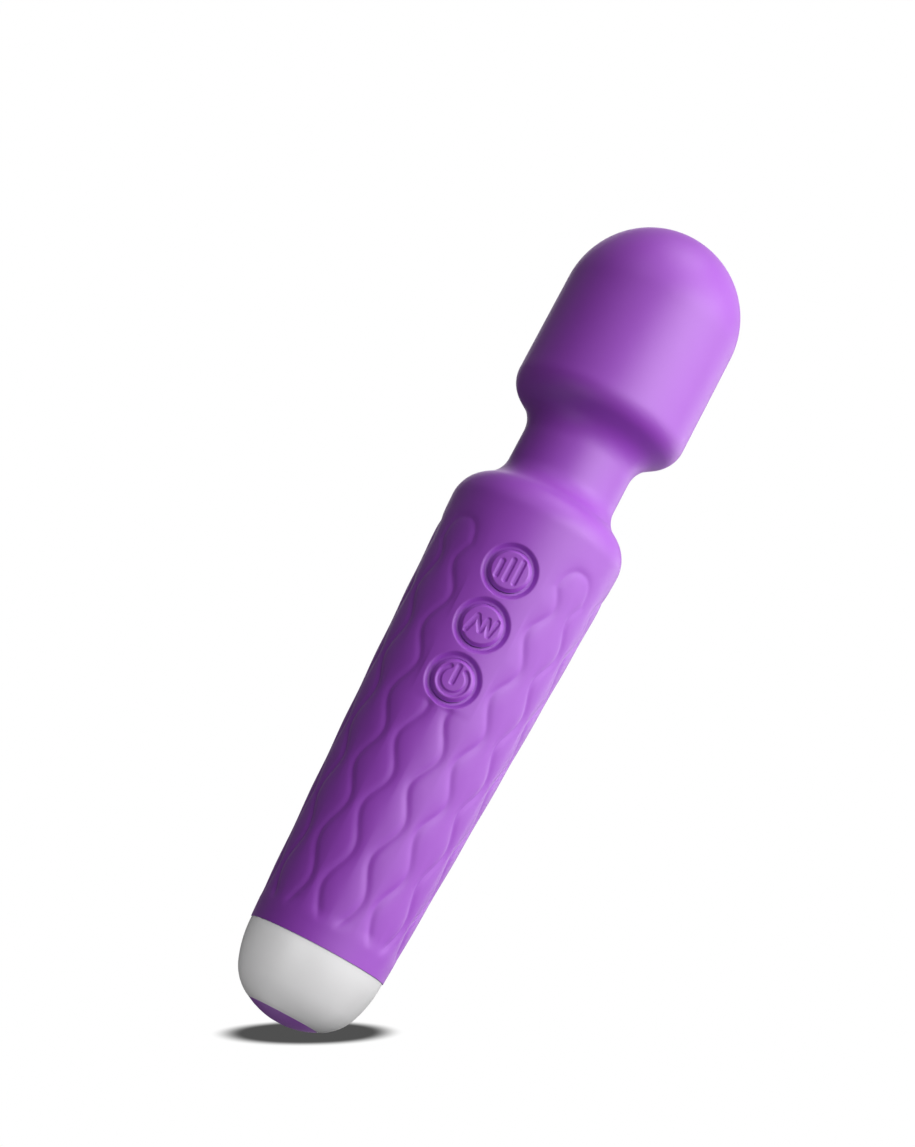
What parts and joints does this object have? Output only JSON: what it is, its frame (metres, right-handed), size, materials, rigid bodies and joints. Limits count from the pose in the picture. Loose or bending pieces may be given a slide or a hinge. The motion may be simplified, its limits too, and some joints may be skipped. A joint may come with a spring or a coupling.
{
  "type": "handheld wand massager",
  "caption": "Cordless handheld wand massager: round silicone head on a flexible neck, tapered handle with buttons and an engraved wave pattern, and a plastic end cap with a charging socket.",
  "frame": {"origin": "lowest point of the charging end, on the wand's axis", "axes": "+Z along the wand towards the massage head, -Y out of the side with the buttons, +X to the right when the buttons face the viewer and the head is up"},
  "size_m": [0.042, 0.042, 0.2019],
  "materials": {
    "skin_silicone": "matte silicone, soft touch",
    "insert_silicone": "matte silicone",
    "button_silicone": "matte silicone",
    "cap_plastic": "white ABS, satin",
    "plunger_plastic": "natural ABS",
    "housing_abs": "white ABS, moulded",
    "pod_abs": "grey nylon",
    "screw_steel": "zinc plated",
    "ring_steel": "stamped",
    "black_rubber": "moulded, matte",
    "foam": "closed-cell foam",
    "jack_plastic": "black nylon",
    "contact_metal": "nickel plated",
    "battery_wrap": "shrink sleeve",
    "board_green": "solder mask",
    "switch_metal": "stamped shield",
    "chip_black": "moulded epoxy",
    "lead_red": "PVC insulation",
    "motor_steel": "drawn steel can",
    "shaft_steel": "ground",
    "endcap_plastic": "nylon",
    "bushing_brass": "sintered bronze",
    "weight_metal": "sintered tungsten alloy"
  },
  "bodies": {
    "handle": {"handle_sleeve": "skin_silicone", "housing_front": "housing_abs", "housing_rear": "housing_abs", "housing_screws": "screw_steel", "end_cap": "cap_plastic", "cap_seal": "black_rubber", "charge_insert": "insert_silicone", "charge_jack": "jack_plastic", "jack_contacts": "contact_metal", "jack_frame": "housing_abs", "battery_cell": "battery_wrap", "battery_tabs": "contact_metal", "battery_foam": "foam", "battery_cradle": "housing_abs", "circuit_board": "board_green", "tact_switches": "switch_metal", "board_chips": "chip_black", "neck_plate": "housing_abs", "lower_clamp_ring": "ring_steel", "lower_clamp_screws": "screw_steel"},
    "power_key": {"power_button": "button_silicone", "power_plunger": "plunger_plastic"},
    "mode_key": {"mode_button": "button_silicone", "mode_plunger": "plunger_plastic"},
    "level_key": {"level_button": "button_silicone", "level_plunger": "plunger_plastic"},
    "neck_link": {"neck_sleeve": "skin_silicone", "neck_coupler": "black_rubber", "motor_leads": "lead_red"},
    "head": {"head_sleeve": "skin_silicone", "motor_pod_base": "pod_abs", "motor_pod_dome": "pod_abs", "upper_clamp_ring": "ring_steel", "upper_clamp_screws": "screw_steel", "motor_can": "motor_steel", "motor_endcap": "endcap_plastic", "motor_bushing": "bushing_brass", "motor_isolators": "black_rubber"},
    "rotor": {"motor_shaft": "shaft_steel", "eccentric_weight": "weight_metal"}
  },
  "joints": [
    {"name": "neck_tilt_fore", "type": "hinge", "parent": "handle", "child": "neck_link", "pos_m": [0, 0, 0.14], "axis": [1, 0, 0], "range_deg": [-20, 20], "stiffness_Nm_per_rad": 0.8, "deforming": ["neck_sleeve", "neck_coupler", "motor_leads"]},
    {"name": "neck_tilt_side", "type": "hinge", "parent": "neck_link", "child": "head", "pos_m": [0, 0, 0.14], "axis": [0, 1, 0], "range_deg": [-20, 20], "stiffness_Nm_per_rad": 0.8, "deforming": ["neck_sleeve", "neck_coupler", "motor_leads"]},
    {"name": "rotor_spin", "type": "hinge", "parent": "head", "child": "rotor", "pos_m": [0, 0, 0.18], "axis": [0, 0, 1], "continuous": true},
    {"name": "power_press", "type": "slide", "parent": "handle", "child": "power_key", "axis": [0, 1, 0], "range_m": [0, 0.0006], "stiffness_N_per_m": 1500},
    {"name": "mode_press", "type": "slide", "parent": "handle", "child": "mode_key", "axis": [0, 1, 0], "range_m": [0, 0.0006], "stiffness_N_per_m": 1500},
    {"name": "level_press", "type": "slide", "parent": "handle", "child": "level_key", "axis": [0, 1, 0], "range_m": [0, 0.0006], "stiffness_N_per_m": 1500}
  ]
}
